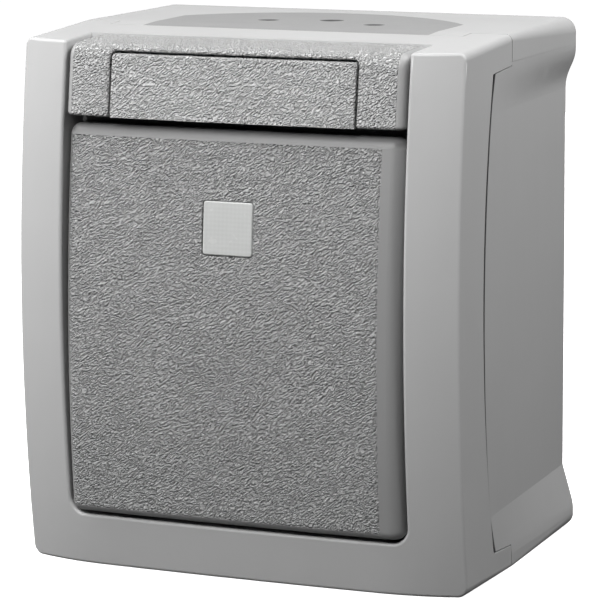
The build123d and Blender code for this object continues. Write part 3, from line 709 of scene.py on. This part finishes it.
class Finish(Enum):
    """The finishes of this switch, by use."""

    KEY = GrainedPlastic("Key_Grain", 0.41)
    TRIM = GrainedPlastic("Trim_Grain", 0.52)
    LABEL = GrainedPlastic("Label_Grain", 0.53)
    HOUSING = SatinPlastic("Housing_Satin")
    BOX = SatinPlastic("Box_Satin")
    MEMBRANE = SoftRubber("Membrane_Skin", grey(0.25))
    SEAL = SoftRubber("Seal_Dark", grey(0.03))
    LENS = DiffuserPlastic("Lens_Diffuser")
    CRADLE = SatinPlastic("Cradle_Moulding", grey(0.1), roughness=0.5)
    PLUNGER = SatinPlastic("Plunger_Moulding", (0.62, 0.60, 0.54), roughness=0.4)
    INSERT = SatinPlastic("Insert_Moulding", (0.60, 0.60, 0.57), roughness=0.42)
    SPRING = WorkedMetal("Spring_Wire", roughness=0.25)
    BRASS = WorkedMetal("Contact_Brass", (0.72, 0.52, 0.24), (0.42, 0.27, 0.12))
    STEEL = WorkedMetal("Screw_Steel")
    PLATE = WorkedMetal("Plate_Steel", (0.6, 0.6, 0.58), line_cell=(3.0, 0.08, 0.08))
    LAMP = LampGlass("Lamp_Cap")
    PAPER = PaperSweep("Studio_Paper", glow=1.0)
    BOUNCE = PaperSweep("Studio_Bounce_Card", level=0.3)


class Wardrobe:
    """Builds each finish once and puts it on objects."""

    def __init__(self) -> None:
        """Starts with nothing built."""
        self.built: dict[Finish, bpy.types.Material] = {}

    def get(self, finish: Finish, zone: Zone | None = None) -> bpy.types.Material:
        """Returns the finish's material, and builds it on first use.

        Args:
            finish: the finish.
            zone: the place where it differs, if there is one.

        Returns:
            The material.
        """
        if finish not in self.built:
            self.built[finish] = finish.value.material(zone) if zone else finish.value.material()
        return self.built[finish]

    def dress(self, thing: bpy.types.Object, finish: Finish, zone: Zone | None = None) -> None:
        """Puts the finish on every slot of an object.

        Args:
            thing: the object.
            finish: what it wears.
            zone: the place where the finish differs, if there is one.
        """
        material = self.get(finish, zone)
        if not thing.material_slots:
            thing.data.materials.append(material)
        for slot in thing.material_slots:
            slot.material = material


# Sub-assemblies
@dataclass(frozen=True)
class SubAssembly:
    """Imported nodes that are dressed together."""

    finishes: ClassVar[dict[str, Finish]] = {}

    def zones(self) -> dict[str, Zone]:
        """Places that differ, by node."""
        return {}

    def dress(self, nodes: Mapping[str, bpy.types.Object], wardrobe: Wardrobe) -> None:
        """Dresses every node of the sub-assembly.

        Args:
            nodes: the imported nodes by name.
            wardrobe: source of the finishes.
        """
        zones = self.zones()
        for node, finish in self.finishes.items():
            wardrobe.dress(nodes[node], finish, zones.get(node))
            log.info("%s: %s wears %s", type(self).__name__, node, finish.name)


@dataclass(frozen=True)
class Housing(SubAssembly):
    """Frame and rear box, with a painted shadow behind the frame's edge on the box's sides."""

    finishes: ClassVar[dict[str, Finish]] = {"front_frame": Finish.HOUSING, "rear_box": Finish.BOX}
    # The seam's dark line on the box is painted shadow; the real gap is hidden behind the frame's edge.
    seam: PaintedSeamShadow = PaintedSeamShadow()

    def zones(self) -> dict[str, Zone]:
        """The painted shadow line along the side seam."""
        return {"rear_box": self.seam}


@dataclass(frozen=True)
class Face(SubAssembly):
    """Everything that shows on the front and the top."""

    finishes: ClassVar[dict[str, Finish]] = {
        "rocker_key": Finish.KEY,
        "top_trim": Finish.TRIM,
        "label_cover": Finish.LABEL,
        "indicator_lens": Finish.LENS,
        "cable_membrane": Finish.MEMBRANE,
    }
    # The key gets painted shade on its smooth bands and a painted shadow of the trim on its head rounding.
    key_field: GrainField = GrainField(
        "rocker_key", left=0.9, right=3.8, foot=1.2, head=1.8, rounding=1.6
    )
    trim_field: GrainField = GrainField("top_trim", left=1.2, right=1.4)
    pierce_shade: PierceWellShade = PierceWellShade()

    def zones(self) -> dict[str, Zone]:
        """The grained fields, with their painted shade, and the painted shade in the membrane's thin
        points.
        """
        fields = {field.node: field for field in (self.key_field, self.trim_field)}
        return {**fields, "cable_membrane": self.pierce_shade}


@dataclass(frozen=True)
class Inside(SubAssembly):
    """Everything behind the key and the frame's plate."""

    finishes: ClassVar[dict[str, Finish]] = {
        "box_gasket": Finish.SEAL,
        "insert_seal": Finish.SEAL,
        "screw_washers": Finish.SEAL,
        "rocker_cradle": Finish.CRADLE,
        "contact_plunger": Finish.PLUNGER,
        "plunger_spring": Finish.SPRING,
        "contact_bridge": Finish.BRASS,
        "common_terminal": Finish.BRASS,
        "load_terminal_upper": Finish.BRASS,
        "load_terminal_lower": Finish.BRASS,
        "loop_terminal": Finish.BRASS,
        "terminal_screws": Finish.STEEL,
        "insert_base": Finish.INSERT,
        "insert_cover": Finish.INSERT,
        "insert_screws": Finish.STEEL,
        "retainer_plate": Finish.PLATE,
        "retainer_screws": Finish.STEEL,
        "frame_screws": Finish.STEEL,
        "pilot_lamp": Finish.LAMP,
    }


# Studio
def add(name: str, data: bpy.types.ID) -> bpy.types.Object:
    """Makes an object of its data and links it to the scene.

    Args:
        name: name of the object.
        data: its camera, light or mesh.

    Returns:
        The object.
    """
    thing = bpy.data.objects.new(name, data)
    bpy.context.scene.collection.objects.link(thing)
    return thing


@dataclass(frozen=True)
class PhotoCamera:
    """The camera of the photograph: angles in degrees, lengths in millimetres."""

    focal_px: float = 3316.93    # focal length, in pixels of the photograph
    frame_px: float = 600.0      # side of the photograph, in pixels
    azimuth: float = 23.29
    elevation: float = 10.14
    roll: float = -0.35
    target: Point = (-1.91, -22.0, -2.76)
    distance: float = 499.2
    sensor: float = 36.0
    nearest: float = 10.0
    farthest: float = 20000.0

    def build(self) -> None:
        """Places the camera where the photograph was taken from."""
        az, el, roll = (math.radians(a) for a in (self.azimuth, self.elevation, self.roll))
        back = Vector((math.sin(az) * math.cos(el), -math.cos(az) * math.cos(el), math.sin(el)))
        right = Vector((math.cos(az), math.sin(az), 0.0))
        up = back.cross(right)
        right_rolled = right * math.cos(roll) + up * math.sin(roll)
        up_rolled = up * math.cos(roll) - right * math.sin(roll)
        data = bpy.data.cameras.new("Photo_Camera")
        data.sensor_width = self.sensor
        data.lens = self.focal_px / self.frame_px * self.sensor
        data.clip_start = self.nearest * MM
        data.clip_end = self.farthest * MM
        data.dof.use_dof = False
        camera = add("Photo_Camera", data)
        rotation = Matrix((right_rolled, up_rolled, back)).transposed().to_4x4()
        place = (Vector(self.target) + back * self.distance) * MM
        camera.matrix_world = Matrix.Translation(place) @ rotation
        bpy.context.scene.camera = camera


@dataclass(frozen=True)
class Softbox:
    """A square softbox that faces the switch. Lengths are in metres and power in watts."""

    name: str
    place: Point
    size: float
    power: float
    reflected: bool = True       # whether the switch's gloss shows it
    aim: ClassVar[Point] = (0.0, -0.03, 0.0)

    def build(self) -> None:
        """Adds the light."""
        data = bpy.data.lights.new(self.name, "AREA")
        data.shape = "SQUARE"
        data.size = self.size
        data.energy = self.power
        lamp = add(self.name, data)
        lamp.location = self.place
        direction = Vector(self.aim) - Vector(self.place)
        lamp.rotation_euler = direction.to_track_quat("-Z", "Y").to_euler()
        lamp.visible_glossy = self.reflected


@dataclass(frozen=True)
class Sweep:
    """Paper floor that curves up into a wall behind the switch, in metres."""

    front: float = -3.0
    back: float = 0.7
    radius: float = 0.6
    height: float = 4.0
    half_width: float = 4.0
    steps: int = 24              # of the curve
    card_drop: float = 0.001     # of the grey card under the floor

    def mesh(self, level: float) -> bpy.types.Mesh:
        """Builds the sheet of paper.

        Args:
            level: height of the floor.

        Returns:
            The mesh.
        """
        profile = [(self.front, 0.0), (self.back, 0.0)]
        for step in range(1, self.steps + 1):
            angle = math.pi / 2 * step / self.steps
            rise = self.radius * (1 - math.cos(angle))
            profile.append((self.back + self.radius * math.sin(angle), rise))
        profile.append((self.back + self.radius, self.height))
        vertices = []
        for y, z in profile:
            vertices += [(-self.half_width, y, level + z), (self.half_width, y, level + z)]
        faces = [(2 * i, 2 * i + 1, 2 * i + 3, 2 * i + 2) for i in range(len(profile) - 1)]
        mesh = bpy.data.meshes.new("Studio_Sweep")
        mesh.from_pydata(vertices, [], faces)
        for face in mesh.polygons:
            face.use_smooth = True
        return mesh

    def build(self, wardrobe: Wardrobe, level: float) -> None:
        """Adds the white floor, which only the camera sees, and a grey card that only lights.

        Args:
            wardrobe: source of the paper finishes.
            level: height of the floor.
        """
        floor = add("Studio_Sweep", self.mesh(level))
        wardrobe.dress(floor, Finish.PAPER)
        floor.visible_diffuse = False
        floor.visible_glossy = False
        floor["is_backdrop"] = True
        card = add("Studio_Bounce_Card", floor.data.copy())
        card.location.z = -self.card_drop
        wardrobe.dress(card, Finish.BOUNCE)
        card.visible_camera = False
        card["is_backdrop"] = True


@dataclass(frozen=True)
class Studio:
    """Camera, softboxes, even surround and floor."""

    camera: PhotoCamera = PhotoCamera()
    softboxes: tuple[Softbox, ...] = (
        Softbox("Front_Softbox", (-0.05, -0.30, 0.25), 0.20, 1.58),
        Softbox("Left_Softbox", (-0.30, -0.10, 0.25), 0.20, 1.42),
        Softbox("Right_Softbox", (0.20, 0.0, 0.22), 0.15, 0.88),
        Softbox("Rear_Softbox", (-0.12, 0.5, 0.0), 0.20, 2.2, reflected=False),
    )
    surround: float = 0.01       # strength of the even light from all sides
    sweep: Sweep = Sweep()

    def build(self, wardrobe: Wardrobe, level: float) -> None:
        """Sets up the studio.

        Args:
            wardrobe: source of the paper finishes.
            level: height of the floor, in metres.
        """
        self.camera.build()
        for softbox in self.softboxes:
            softbox.build()
            log.info("Studio: %s of %.2f W", softbox.name, softbox.power)
        world = bpy.data.worlds.new("Studio_Surround")
        world.use_nodes = True
        background = world.node_tree.nodes["Background"].inputs
        background["Color"].default_value = (*grey(1.0), 1.0)
        background["Strength"].default_value = self.surround
        bpy.context.scene.world = world
        self.sweep.build(wardrobe, level)
        bpy.context.scene.view_settings.view_transform = "Standard"


def box_of(bounds: object) -> list[list[float]]:
    """A bounding box as plain lists."""
    return [[float(part) for part in corner] for corner in bounds]


def main() -> None:
    """Loads the solids, dresses them and sets up the studio."""
    logging.basicConfig(level=logging.INFO, format="%(message)s")
    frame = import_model()
    solid_box = box_of(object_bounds())
    wardrobe = Wardrobe()
    for group in (Housing(), Face(), Inside()):
        group.dress(frame["nodes"], wardrobe)
    Studio().build(wardrobe, solid_box[0][2])


if __name__ == "__main__":
    main()
